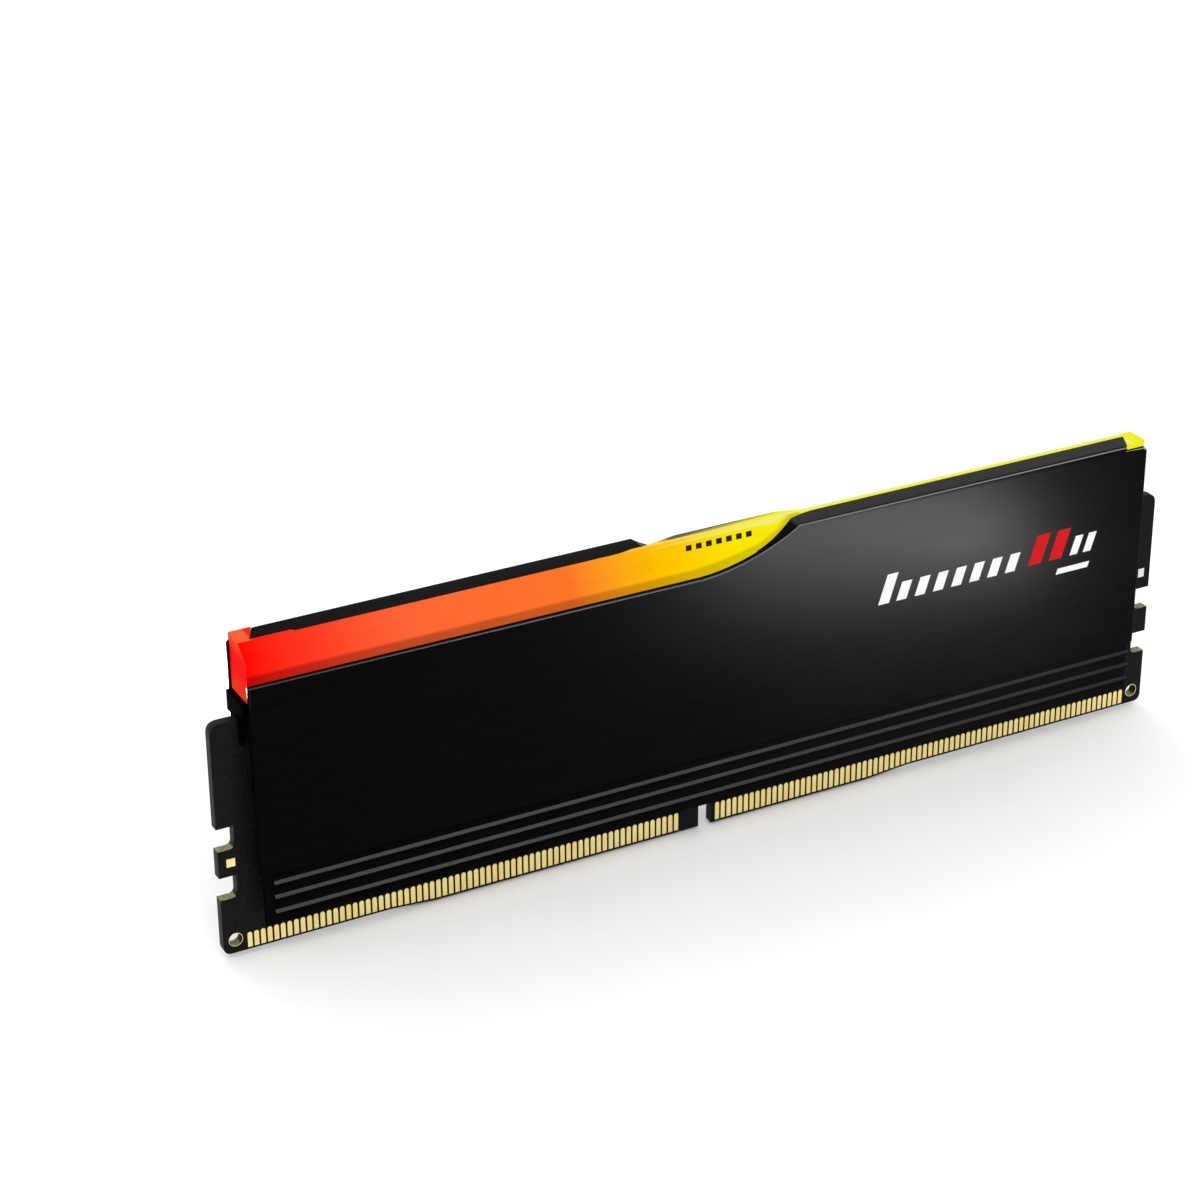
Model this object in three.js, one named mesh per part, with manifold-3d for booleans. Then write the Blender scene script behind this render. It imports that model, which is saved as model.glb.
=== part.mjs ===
// A desktop DDR5 memory module: a printed circuit board with its chips, thermal pads,
// two folded aluminium heat spreaders and a light bar along the top.
//
// Millimetres. +X runs along the module, -Y is the front and +Z points out of the socket.
// x = 0 and y = 0 are the middle of the board, z = 0 is the lowest part of its contact edge.
import * as THREE from 'three';
import { ConvexGeometry } from 'three/addons/geometries/ConvexGeometry.js';
import { mergeVertices } from 'three/addons/utils/BufferGeometryUtils.js';
import Module from 'manifold-3d';

const wasm = await Module();
wasm.setup();

// ---- Board (DDR5 UDIMM outline) ----
const BOARD_LENGTH = 133.35;
const BOARD_HEIGHT = 31.25;
const BOARD_THICKNESS = 1.27;
const BOARD_END = BOARD_LENGTH / 2;
const BOARD_FACE = BOARD_THICKNESS / 2;
const WING_CORNER_RADIUS = 1.4;
const EDGE_RISE = 0.45; // the contact edge is this much higher near its ends
const EDGE_LOW_FROM = -39;
const EDGE_LOW_TO = 23;
const EDGE_RAMP_LENGTH = 6;
const BOTTOM_CORNER_RADIUS = 1.1;
const KEY_FROM = -2.3;
const KEY_TO = -0.45;
const KEY_HEIGHT = 3.1;
const KEY_RADIUS = 0.3;
const LATCH_NOTCH_BOTTOMS = [8.0, 14.6];
const LATCH_NOTCH_HEIGHT = 3.0;
const LATCH_NOTCH_DEPTH = 2.15;
const LATCH_NOTCH_RADIUS = 0.8;
const HOLE_X = 65.1;
const HOLE_Z = 2.25;
const HOLE_RADIUS = 0.82;

// ---- Contacts ----
const PITCH = 0.85;
const PINS_PER_SIDE = 144;
const PINS_LEFT_OF_KEY = 69;
const FIRST_PIN_X = -63.325;
const FIRST_PIN_RIGHT_X = 0.425;
const FINGER_WIDTH = 0.6;
const FINGER_THICKNESS = 0.05;
const FINGER_TOP = 2.62;
const FINGER_FOOT = 0.28; // the fingers end this far above the contact edge
const FINGER_TIE = 0.15; // height of the plated strip that joins the tops of the fingers

// ---- Heat spreaders ----
const SPREADER_FACE = 3.3; // distance of the outer face from the middle of the board
const SHEET = 0.8;
const SPREADER_END = 62.65;
const SPREADER_BOTTOM = 4.4;
const SPREADER_TOP = 40.5;
const LOW_TOP = 36.3; // top edge beside the open half of the light bar
const RAMP_START_X = -3.5;
const RAMP_LOW_HANDLE = [2.2, 36.45]; // Bezier handles of the ramp in (x, z)
const RAMP_HIGH_HANDLE = [8, 39.1];
const KNEE_X = 10;
const LIP_START_X = 4.5;
const LIP_START_HANDLE_X = 8;
const LIP_FULL_HANDLE_X = 10.5;
const LIP_FULL_X = 14;
const LIP_EDGE = 0.42; // the folded lip stops this far short of the middle
const FRONT_LIP_EXTRA = 0;
const BACK_LIP_EXTRA = 0.52; // the back lip is wider by this much and covers the ridge
const LIP_STEP_X = 55.3; // where the wider lip steps back
const LIP_END_OUTER_X = 59.3;
const LIP_END_INNER_X = 60.7;
const CAP_SEAT = 39.9; // top of the sheet below the light bar's end cap
const FOLD_RADIUS = 0.3;
const FOLD_STEPS = 3;
const CORNER_CHAMFER = 0.6;
const BAND_TOP = 11.1; // the ribbed band below this height is set back
const BAND_DEPTH = 0.4;
const BAND_CHAMFER = 0.3;
const BAND_END = 62.0;
const RIB_HEIGHTS = [6.05, 8.05, 9.95];
const RIB_WIDTH = 0.5;
const RIB_DEPTH = 0.32;
const RIB_LEFT = -60.8;
const RIB_RIGHT = 62.3;

// ---- Light bar and its carrier ----
const MODULE_TOP = 40.6;
const BAR_END = 62.4;
const BAR_BOTTOM = 33.8;
const BAR_HALF = 2.45;
const BAR_SHOULDER = 38.9;
const RIDGE_HALF = 0.25;
const CAP_FACE = 3.15;
const CAP_CORNER = 0.6;
const CROWN_END = 12.5;
const CROWN_HALF = 1.2;
const CROWN_PLAN = [ // its flat top, half a turn symmetric
  [-CROWN_END, -RIDGE_HALF], [-9, -CROWN_HALF], [5, -CROWN_HALF],
  [CROWN_END, RIDGE_HALF], [9, CROWN_HALF], [-5, CROWN_HALF],
];
const CARRIER_END = 63.2;
const CARRIER_HALF = 2.4;
const CHANNEL_END = 60.5;
const CHANNEL_HALF = 1.5;
const CLIP_LENGTH = 3.0;
const CLIP_WIDTH = 0.45;
const CLIP_THICKNESS = 0.9;

// ---- Chips and pads between the plates ----
const CHIP = { width: 9, height: 11, thickness: 1.1, middle: 18 };
const CHIP_XS = [-54.5, -42.5, -30.5, -18.5, 18.5, 30.5, 42.5, 54.5];
const PMIC = { x: -2, z: 24, width: 5, height: 5, thickness: 0.9 };
const INDUCTOR = { z: 17.5, width: 4, height: 4, thickness: 1.3 };
const INDUCTOR_XS = [-7, -2, 3];
const HUB = { x: -2, z: 11.5, width: 3, height: 2, thickness: 0.7 };
const LIGHT_DRIVER = { x: 9.5, z: 25.5, width: 4, height: 4, thickness: 0.8 };
const CAPACITOR = { width: 2, height: 1.25, thickness: 1.25 };
const CAPACITOR_SPOTS = [[-9.5, 23], [-9.5, 26], [3.6, 23], [3.6, 26]];
const LED = { width: 3, height: 1.6, thickness: 0.8, middle: 30.3 };
const LED_COUNT = 8;
const LED_SPACING = 15;
const PAD_INNER_X = 12;
const PAD_OUTER_X = 60.5;
const PAD_BOTTOM = 11.3;
const PAD_TOP = 25;
const BACK_PAD_BOTTOM = 6;
const BACK_PAD_TOP = 29;

const CLEARANCE = 0.06; // gap between parts that face each other without touching
const PAST = 1; // how far a cutting solid runs past the face it cuts
const CURVE_STEPS = 12;

// ---- Looks ----
const LOOKS = {
  board: { color: '#17181a', roughness: 0.55, metalness: 0 },
  contact: { color: '#e6cd78', roughness: 0.25, metalness: 1 },
  spreader: { color: '#26272a', roughness: 0.42, metalness: 0.6 },
  bar: { color: '#ff8a2a', roughness: 0.35, metalness: 0 },
  carrier: { color: '#0d0d0f', roughness: 0.6, metalness: 0 },
  chip: { color: '#1c1d1f', roughness: 0.5, metalness: 0 },
  ferrite: { color: '#4a4c50', roughness: 0.6, metalness: 0.2 },
  capacitor: { color: '#9c8466', roughness: 0.5, metalness: 0 },
  led: { color: '#f2efe2', roughness: 0.3, metalness: 0 },
  pad: { color: '#8f99a3', roughness: 0.9, metalness: 0 },
};

// ---- Helpers ----

// A three.js geometry as a closed solid that can be joined and cut.
function solid(geometry) {
  const bare = geometry.clone();
  bare.deleteAttribute('normal');
  bare.deleteAttribute('uv');
  const merged = mergeVertices(bare, 1e-4);
  return new wasm.Manifold(new wasm.Mesh({
    numProp: 3,
    vertProperties: merged.attributes.position.array,
    triVerts: new Uint32Array(merged.index.array),
  }));
}

// A finished solid as flat-shaded three.js geometry.
function geometryOf(body) {
  const mesh = body.getMesh();
  const geometry = new THREE.BufferGeometry();
  geometry.setAttribute('position', new THREE.BufferAttribute(new Float32Array(mesh.vertProperties), 3));
  geometry.setIndex(new THREE.BufferAttribute(new Uint32Array(mesh.triVerts), 1));
  const flat = geometry.toNonIndexed();
  flat.computeVertexNormals();
  return flat;
}

function extrude(shape, depth) {
  return new THREE.ExtrudeGeometry(shape, { depth, bevelEnabled: false, curveSegments: CURVE_STEPS });
}

// A shape drawn in (x, z), extruded from y = from to y = to.
function slabAcross(shape, from, to) {
  return solid(extrude(shape, to - from).rotateX(Math.PI / 2).translate(0, to, 0));
}

// A sheet cut to a shape drawn in (x, z), from y = from to y = to, with all its edges rounded.
function roundedSheet(shape, from, to, radius) {
  const sheet = new THREE.ExtrudeGeometry(shape, {
    depth: to - from - 2 * radius,
    bevelEnabled: true,
    bevelThickness: radius,
    bevelSize: radius,
    bevelOffset: -radius,
    bevelSegments: FOLD_STEPS,
    curveSegments: CURVE_STEPS,
  });
  return solid(sheet.rotateX(Math.PI / 2).translate(0, to - radius, 0));
}

// A shape drawn in (y, z), extruded from x = from to x = to.
function barAlong(shape, from, to) {
  const axes = new THREE.Matrix4().makeBasis(
    new THREE.Vector3(0, 1, 0),
    new THREE.Vector3(0, 0, 1),
    new THREE.Vector3(1, 0, 0),
  );
  return solid(extrude(shape, to - from).applyMatrix4(axes).translate(from, 0, 0));
}

// A shape drawn in (x, y), extruded from z = from to z = to.
function slabUp(shape, from, to) {
  return solid(extrude(shape, to - from).translate(0, 0, from));
}

function polygon(points) {
  return new THREE.Shape(points.map(([u, v]) => new THREE.Vector2(u, v)));
}

function boxGeometry(x0, x1, y0, y1, z0, z1) {
  const box = new THREE.BoxGeometry(x1 - x0, y1 - y0, z1 - z0);
  return box.translate((x0 + x1) / 2, (y0 + y1) / 2, (z0 + z1) / 2);
}

function boxSolid(...limits) {
  return solid(boxGeometry(...limits));
}

// The same solid turned half a turn about the vertical, from the front of the module to its back.
function turned(body) {
  return body.rotate([0, 0, 180]);
}

function piece(name, geometry, look) {
  const mesh = new THREE.Mesh(geometry, new THREE.MeshStandardMaterial(LOOKS[look]));
  mesh.name = name;
  return mesh;
}

// ---- Board ----

// The outline in (x, z) with the stepped contact edge; notches are cut afterwards.
function boardOutline() {
  const end = BOARD_END;
  const top = BOARD_HEIGHT;
  const corner = BOTTOM_CORNER_RADIUS;
  const wing = WING_CORNER_RADIUS;
  const shape = new THREE.Shape();
  shape.moveTo(EDGE_LOW_FROM, 0);
  shape.lineTo(EDGE_LOW_TO, 0);
  shape.lineTo(EDGE_LOW_TO + EDGE_RAMP_LENGTH, EDGE_RISE);
  shape.lineTo(end - corner, EDGE_RISE);
  shape.quadraticCurveTo(end, EDGE_RISE, end, EDGE_RISE + corner);
  shape.lineTo(end, top - wing);
  shape.quadraticCurveTo(end, top, end - wing, top);
  shape.lineTo(wing - end, top);
  shape.quadraticCurveTo(-end, top, -end, top - wing);
  shape.lineTo(-end, EDGE_RISE + corner);
  shape.quadraticCurveTo(-end, EDGE_RISE, corner - end, EDGE_RISE);
  shape.lineTo(EDGE_LOW_FROM - EDGE_RAMP_LENGTH, EDGE_RISE);
  for (const side of [-1, 1]) {
    const hole = new THREE.Path();
    hole.absarc(side * HOLE_X, HOLE_Z, HOLE_RADIUS, 0, Math.PI * 2, true);
    shape.holes.push(hole);
  }
  return shape;
}

// One latch notch at the right end: square above, rounded in its lower inner corner.
function latchNotch(bottom) {
  const inner = BOARD_END - LATCH_NOTCH_DEPTH;
  const outer = BOARD_END + PAST;
  const radius = LATCH_NOTCH_RADIUS;
  const shape = new THREE.Shape();
  shape.moveTo(outer, bottom);
  shape.lineTo(outer, bottom + LATCH_NOTCH_HEIGHT);
  shape.lineTo(inner, bottom + LATCH_NOTCH_HEIGHT);
  shape.lineTo(inner, bottom + radius);
  shape.quadraticCurveTo(inner, bottom, inner + radius, bottom);
  return slabAcross(shape, -BOARD_THICKNESS, BOARD_THICKNESS);
}

function keyNotch() {
  const shape = new THREE.Shape();
  shape.moveTo(KEY_FROM, -PAST);
  shape.lineTo(KEY_TO, -PAST);
  shape.lineTo(KEY_TO, KEY_HEIGHT - KEY_RADIUS);
  shape.quadraticCurveTo(KEY_TO, KEY_HEIGHT, KEY_TO - KEY_RADIUS, KEY_HEIGHT);
  shape.lineTo(KEY_FROM + KEY_RADIUS, KEY_HEIGHT);
  shape.quadraticCurveTo(KEY_FROM, KEY_HEIGHT, KEY_FROM, KEY_HEIGHT - KEY_RADIUS);
  return slabAcross(shape, -BOARD_THICKNESS, BOARD_THICKNESS);
}

function board() {
  let body = slabAcross(boardOutline(), -BOARD_FACE, BOARD_FACE).subtract(keyNotch());
  for (const bottom of LATCH_NOTCH_BOTTOMS) {
    const notch = latchNotch(bottom);
    body = body.subtract(notch).subtract(notch.mirror([1, 0, 0]));
  }
  return piece('pcb', geometryOf(body), 'board');
}

// ---- Contacts ----

// Height of the contact edge: lowest in the middle, one ramp up towards each end.
function edgeHeight(x) {
  const beyond = Math.max(EDGE_LOW_FROM - x, x - EDGE_LOW_TO, 0);
  return EDGE_RISE * Math.min(beyond / EDGE_RAMP_LENGTH, 1);
}

// A row of fingers hanging from one thin plated strip, in (x, z).
function fingerRow(firstX, count) {
  const half = FINGER_WIDTH / 2;
  const tie = FINGER_TOP - FINGER_TIE;
  const shape = new THREE.Shape();
  shape.moveTo(firstX - half, FINGER_TOP);
  for (let pin = 0; pin < count; pin += 1) {
    const x = firstX + pin * PITCH;
    const foot = edgeHeight(x) + FINGER_FOOT;
    if (pin > 0) shape.lineTo(x - half, tie);
    shape.lineTo(x - half, foot);
    shape.lineTo(x + half, foot);
    shape.lineTo(x + half, pin === count - 1 ? FINGER_TOP : tie);
  }
  return shape;
}

function contacts() {
  const rows = [
    ['left', FIRST_PIN_X, PINS_LEFT_OF_KEY],
    ['right', FIRST_PIN_RIGHT_X, PINS_PER_SIDE - PINS_LEFT_OF_KEY],
  ];
  const out = BOARD_FACE + FINGER_THICKNESS;
  return rows.flatMap(([half, firstX, count]) => {
    const row = fingerRow(firstX, count);
    return [
      piece(`contacts_front_${half}`, geometryOf(slabAcross(row, -out, -BOARD_FACE)), 'contact'),
      piece(`contacts_back_${half}`, geometryOf(slabAcross(row, BOARD_FACE, out)), 'contact'),
    ];
  });
}

// ---- Heat spreaders ----

// Adds the top edge to a path, from the knee down the ramp, moved down by drop.
function traceRampDown(path, drop) {
  const [lowX, lowZ] = RAMP_LOW_HANDLE;
  const [highX, highZ] = RAMP_HIGH_HANDLE;
  path.lineTo(KNEE_X, SPREADER_TOP - drop);
  path.bezierCurveTo(highX, highZ - drop, lowX, lowZ - drop, RAMP_START_X, LOW_TOP - drop);
}

// The same edge the other way, from the foot of the ramp up to the knee.
function traceRampUp(path, drop) {
  const [lowX, lowZ] = RAMP_LOW_HANDLE;
  const [highX, highZ] = RAMP_HIGH_HANDLE;
  path.lineTo(RAMP_START_X, LOW_TOP - drop);
  path.bezierCurveTo(lowX, lowZ - drop, highX, highZ - drop, KNEE_X, SPREADER_TOP - drop);
}

// The upright sheet of the front spreader in (x, z).
function sheetOutline() {
  const end = SPREADER_END;
  const shape = new THREE.Shape();
  shape.moveTo(-end, SPREADER_BOTTOM);
  shape.lineTo(end, SPREADER_BOTTOM);
  shape.lineTo(end, CAP_SEAT - CORNER_CHAMFER);
  shape.lineTo(end - CORNER_CHAMFER, CAP_SEAT);
  shape.lineTo(LIP_END_OUTER_X, CAP_SEAT);
  shape.lineTo(LIP_END_OUTER_X, SPREADER_TOP);
  traceRampDown(shape, 0);
  shape.lineTo(-end, LOW_TOP);
  return shape;
}

// The lip's thickness in (x, z): the top edge and the same edge one sheet lower.
function lipProfile() {
  const shape = new THREE.Shape();
  shape.moveTo(LIP_END_INNER_X + PAST, SPREADER_TOP);
  traceRampDown(shape, 0);
  traceRampUp(shape, SHEET);
  shape.lineTo(LIP_END_INNER_X + PAST, SPREADER_TOP - SHEET);
  return shape;
}

// The lip seen from above in (x, y), wider by extra up to its step, grown by a margin on all its
// edges.
function lipPlan(extra, margin) {
  const short = margin - LIP_EDGE;
  const inner = short + extra;
  const root = SHEET - SPREADER_FACE;
  const outer = -SPREADER_FACE - margin;
  const shape = new THREE.Shape();
  shape.moveTo(LIP_START_X - margin, outer);
  shape.lineTo(LIP_END_OUTER_X + margin, outer);
  shape.lineTo(LIP_END_INNER_X + margin, short);
  if (extra > 0) {
    shape.lineTo(LIP_STEP_X + extra, short);
    shape.lineTo(LIP_STEP_X, inner);
  }
  shape.lineTo(LIP_FULL_X, inner);
  shape.bezierCurveTo(
    LIP_FULL_HANDLE_X, inner, LIP_START_HANDLE_X, root + margin, LIP_START_X - margin, root + margin,
  );
  return shape;
}

// It starts inside the rounded edge of the sheet, so the fold stays round.
function lip(extra) {
  const folded = slabAcross(lipProfile(), FOLD_RADIUS - SPREADER_FACE, extra);
  return folded.intersect(slabUp(lipPlan(extra, 0), BAR_BOTTOM, MODULE_TOP));
}

// Everything below the flat panel in front of the set-back band, and beyond the band's ends.
function bandCut() {
  const face = -SPREADER_FACE;
  const floor = face + BAND_DEPTH;
  const far = SPREADER_END + PAST;
  const under = SPREADER_BOTTOM - PAST;
  const front = polygon([
    [face - PAST, under],
    [floor, under],
    [floor, BAND_TOP],
    [face, BAND_TOP + BAND_CHAMFER],
    [face - PAST, BAND_TOP + BAND_CHAMFER],
  ]);
  const corner = polygon([
    [BAND_END, under],
    [far, under],
    [far, BAND_TOP + far - BAND_END],
    [BAND_END, BAND_TOP],
  ]);
  const end = slabAcross(corner, face - PAST, 0);
  return barAlong(front, -far, far).add(end).add(end.mirror([1, 0, 0]));
}

// One thin rib of the band, with its upper edge sloped back at 45 degrees.
function rib(height) {
  const half = RIB_WIDTH / 2;
  const floor = BAND_DEPTH - SPREADER_FACE;
  const root = floor + (SHEET - BAND_DEPTH) / 2;
  const section = polygon([
    [root, height - half],
    [floor - RIB_DEPTH, height - half],
    [floor - RIB_DEPTH, height + half - RIB_DEPTH],
    [floor, height + half],
    [root, height + half],
  ]);
  return barAlong(section, RIB_LEFT, RIB_RIGHT);
}

// A spreader in the front one's place.
function spreader(lipExtra) {
  let body = roundedSheet(sheetOutline(), -SPREADER_FACE, SHEET - SPREADER_FACE, FOLD_RADIUS);
  body = body.add(lip(lipExtra)).subtract(bandCut());
  for (const height of RIB_HEIGHTS) body = body.add(rib(height));
  return body;
}

function heatSpreaders() {
  const front = spreader(FRONT_LIP_EXTRA);
  const back = turned(spreader(BACK_LIP_EXTRA));
  return [
    piece('heat_spreader_front', geometryOf(front), 'spreader'),
    piece('heat_spreader_back', geometryOf(back), 'spreader'),
  ];
}

// ---- Light bar ----

// The house-shaped section of the bar in (y, z).
function barSection() {
  return polygon([
    [-BAR_HALF, BAR_BOTTOM], [BAR_HALF, BAR_BOTTOM], [BAR_HALF, BAR_SHOULDER],
    [RIDGE_HALF, MODULE_TOP], [-RIDGE_HALF, MODULE_TOP], [-BAR_HALF, BAR_SHOULDER],
  ]);
}

// The raised middle of the bar: a flat top, wider than the ridge, that drifts from the front on
// the left to the back on the right, over steeper sides.
function crown() {
  const top = CROWN_PLAN.map(([x, y]) => new THREE.Vector3(x, y, MODULE_TOP));
  const foot = [-CROWN_END, CROWN_END].flatMap((x) => [
    new THREE.Vector3(x, -BAR_HALF, BAR_SHOULDER),
    new THREE.Vector3(x, BAR_HALF, BAR_SHOULDER),
    new THREE.Vector3(x, -BAR_HALF, BAR_SHOULDER - PAST),
    new THREE.Vector3(x, BAR_HALF, BAR_SHOULDER - PAST),
  ]);
  return solid(new ConvexGeometry([...top, ...foot]));
}

// The room that the folded lip of the front spreader takes out of the bar.
function lipPocket(lipExtra) {
  const drop = SHEET + CLEARANCE;
  const profile = new THREE.Shape();
  profile.moveTo(LIP_END_INNER_X + PAST, MODULE_TOP + PAST);
  profile.lineTo(RAMP_START_X, MODULE_TOP + PAST);
  traceRampUp(profile, drop);
  profile.lineTo(LIP_END_INNER_X + PAST, SPREADER_TOP - drop);
  const above = slabAcross(profile, -SPREADER_FACE - PAST, lipExtra + CLEARANCE);
  return above.intersect(slabUp(lipPlan(lipExtra, CLEARANCE), BAR_BOTTOM, MODULE_TOP + PAST));
}

// The full-width cap that closes the top at the right end, where the lip is cut short.
function endCap() {
  const inner = LIP_END_INNER_X + 2 * CLEARANCE;
  const plan = new THREE.Shape();
  plan.moveTo(BAR_END, 0);
  plan.lineTo(inner, 0);
  plan.lineTo(inner, -LIP_EDGE);
  plan.lineTo(LIP_END_OUTER_X + 2 * CLEARANCE, -CAP_FACE);
  plan.lineTo(BAR_END - CAP_CORNER, -CAP_FACE);
  plan.quadraticCurveTo(BAR_END, -CAP_FACE, BAR_END, CAP_CORNER - CAP_FACE);
  const top = slabUp(plan, CAP_SEAT + CLEARANCE, MODULE_TOP);
  const core = boxSolid(0, BAR_END, -BAR_HALF, BAR_HALF, BAR_SHOULDER - PAST, MODULE_TOP);
  const fill = slabUp(plan, BAR_SHOULDER - PAST, MODULE_TOP).intersect(core);
  return top.add(fill);
}

function lightBar() {
  const house = barAlong(barSection(), -BAR_END, BAR_END);
  const cap = endCap();
  const body = house
    .add(crown())
    .subtract(lipPocket(FRONT_LIP_EXTRA))
    .subtract(turned(lipPocket(BACK_LIP_EXTRA)))
    .add(cap)
    .add(turned(cap));
  return piece('light_bar', geometryOf(body), 'bar');
}

// The black frame that stands on the board's top edge, lets the light up through its channel
// and grips the board with one clip at each end.
function lightCarrier() {
  const frame = boxSolid(
    -CARRIER_END, CARRIER_END, -CARRIER_HALF, CARRIER_HALF, BOARD_HEIGHT, BAR_BOTTOM,
  );
  const channel = boxSolid(
    -CHANNEL_END, CHANNEL_END, -CHANNEL_HALF, CHANNEL_HALF, BOARD_HEIGHT - PAST, BAR_BOTTOM + PAST,
  );
  const clip = boxSolid(
    -CARRIER_END, CLIP_WIDTH - CARRIER_END, -BOARD_FACE - CLIP_THICKNESS, -BOARD_FACE,
    BOARD_HEIGHT - CLIP_LENGTH, BOARD_HEIGHT + CLEARANCE,
  );
  return piece('light_carrier', geometryOf(frame.subtract(channel).add(clip).add(turned(clip))), 'carrier');
}

// ---- Parts on the board ----

// A flat package soldered to the front face, centred on x and z.
function onFront(name, x, z, size, look) {
  const geometry = boxGeometry(
    x - size.width / 2, x + size.width / 2,
    -BOARD_FACE - size.thickness, -BOARD_FACE,
    z - size.height / 2, z + size.height / 2,
  );
  return piece(name, geometry, look);
}

function electronics() {
  return [
    ...CHIP_XS.map((x, i) => onFront(`dram_chip_${i + 1}`, x, CHIP.middle, CHIP, 'chip')),
    ...INDUCTOR_XS.map((x, i) => onFront(`power_inductor_${i + 1}`, x, INDUCTOR.z, INDUCTOR, 'ferrite')),
    ...CAPACITOR_SPOTS.map(([x, z], i) => onFront(`capacitor_${i + 1}`, x, z, CAPACITOR, 'capacitor')),
    onFront('power_chip', PMIC.x, PMIC.z, PMIC, 'chip'),
    onFront('spd_hub', HUB.x, HUB.z, HUB, 'chip'),
    onFront('light_driver', LIGHT_DRIVER.x, LIGHT_DRIVER.z, LIGHT_DRIVER, 'chip'),
  ];
}

function leds() {
  const firstX = -LED_SPACING * (LED_COUNT - 1) / 2;
  return Array.from({ length: LED_COUNT }, (unused, i) => (
    onFront(`led_${i + 1}`, firstX + i * LED_SPACING, LED.middle, LED, 'led')
  ));
}

function thermalPads() {
  const outer = SHEET - SPREADER_FACE;
  const chipTop = -BOARD_FACE - CHIP.thickness;
  const powerTop = -BOARD_FACE - PMIC.thickness;
  const left = boxGeometry(-PAD_OUTER_X, -PAD_INNER_X, outer, chipTop, PAD_BOTTOM, PAD_TOP);
  const right = boxGeometry(PAD_INNER_X, PAD_OUTER_X, outer, chipTop, PAD_BOTTOM, PAD_TOP);
  const power = boxGeometry(
    PMIC.x - PMIC.width / 2, PMIC.x + PMIC.width / 2, outer, powerTop,
    PMIC.z - PMIC.height / 2, PMIC.z + PMIC.height / 2,
  );
  const back = boxGeometry(-PAD_OUTER_X, PAD_OUTER_X, BOARD_FACE, -outer, BACK_PAD_BOTTOM, BACK_PAD_TOP);
  return [
    piece('thermal_pad_front_left', left, 'pad'),
    piece('thermal_pad_front_right', right, 'pad'),
    piece('thermal_pad_power', power, 'pad'),
    piece('thermal_pad_back', back, 'pad'),
  ];
}

const module = new THREE.Group();
module.name = 'ram_module';
module.add(
  board(),
  ...contacts(),
  ...electronics(),
  ...leds(),
  ...thermalPads(),
  lightCarrier(),
  lightBar(),
  ...heatSpreaders(),
);

export default module;
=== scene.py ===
"""A desktop memory module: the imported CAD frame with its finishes, contact fingers, pads and printed marks.

Lengths below are in millimetres unless a name says otherwise; meshes are written in metres.
+X runs along the module, -Y is the front and +Z points away from the socket.
"""
import math

import bmesh
import bpy
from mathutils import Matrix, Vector


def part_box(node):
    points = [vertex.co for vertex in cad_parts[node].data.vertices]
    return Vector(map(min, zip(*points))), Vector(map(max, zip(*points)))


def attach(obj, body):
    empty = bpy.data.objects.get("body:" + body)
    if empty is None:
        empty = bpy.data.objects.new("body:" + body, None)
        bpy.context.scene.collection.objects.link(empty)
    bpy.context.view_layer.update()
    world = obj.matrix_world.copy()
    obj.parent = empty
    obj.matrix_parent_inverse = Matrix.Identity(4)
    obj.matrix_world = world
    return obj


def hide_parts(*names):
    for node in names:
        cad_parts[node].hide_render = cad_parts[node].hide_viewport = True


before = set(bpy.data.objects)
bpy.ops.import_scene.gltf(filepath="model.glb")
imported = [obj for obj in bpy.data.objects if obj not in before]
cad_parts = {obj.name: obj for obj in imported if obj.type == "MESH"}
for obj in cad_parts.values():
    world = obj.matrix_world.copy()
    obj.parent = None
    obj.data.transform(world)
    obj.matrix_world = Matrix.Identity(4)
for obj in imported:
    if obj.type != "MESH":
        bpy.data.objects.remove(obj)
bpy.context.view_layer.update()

MM = 0.001

# ---- Camera, floor and lights ----
CAMERA_PLACE = (-173.60, -296.92, 202.26)
CAMERA_TURN_DEGREES = (63.544, 0.283, -28.119)
LENS = 93.81
SENSOR = 36.0
FLOOR_HALF = 6000.0
FLOOR_GAP = 0.3
WORLD_STRENGTH = 1.0
# Each light: name, place, aimed at, width, height, power in watts, and the start of the names of
# the only parts it lights, or nothing when it lights everything.
LIGHTS = [
    ("key_softbox", (-420, -520, 900), (0, 0, 20), 700, 700, 3.0, ""),
    ("back_softbox", (560, 760, 520), (20, 0, 38), 520, 300, 0.2, ""),
    ("floor_fill_front", (0, -700, 700), (0, 0, 0), 500, 500, 1.4, "floor"),
    ("floor_fill_back", (0, 700, 700), (0, 0, 0), 500, 500, 1.4, "floor"),
    ("lip_softbox", (560, 760, 520), (20, 0, 38), 520, 300, 17.0, "heat_spreader_front"),
    ("sheen_strip_front", (57, -62, 5.5), (24, 0, 40), 47, 8, 0.33, "heat_spreader"),
    ("sheen_strip_back", (-57, 62, 5.5), (-24, 0, 40), 47, 8, 0.33, "heat_spreader"),
    ("edge_strip_front", (200, -300, 520), (20, 0, 20), 600, 160, 38.0, "heat_spreader_front"),
    ("edge_strip_back", (-200, 300, 520), (-20, 0, 20), 600, 160, 8.0, "heat_spreader_back"),
]

# ---- Contact fingers ----
PITCH = 0.85
FINGER_WIDTH = 0.6
FINGER_TOP = 2.78
FINGER_FOOT = 0.28
FINGER_CROWN_STEPS = 6
FINGER_EDGE = 0.018
FINGER_INSET = 0.03
FIRST_PIN = {"left": -63.325, "right": 0.425}
PINS = {"left": 69, "right": 75}
EDGE_RISE = 0.45
EDGE_LOW = (-39.0, 23.0)
EDGE_RAMP_LENGTH = 6.0

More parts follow.
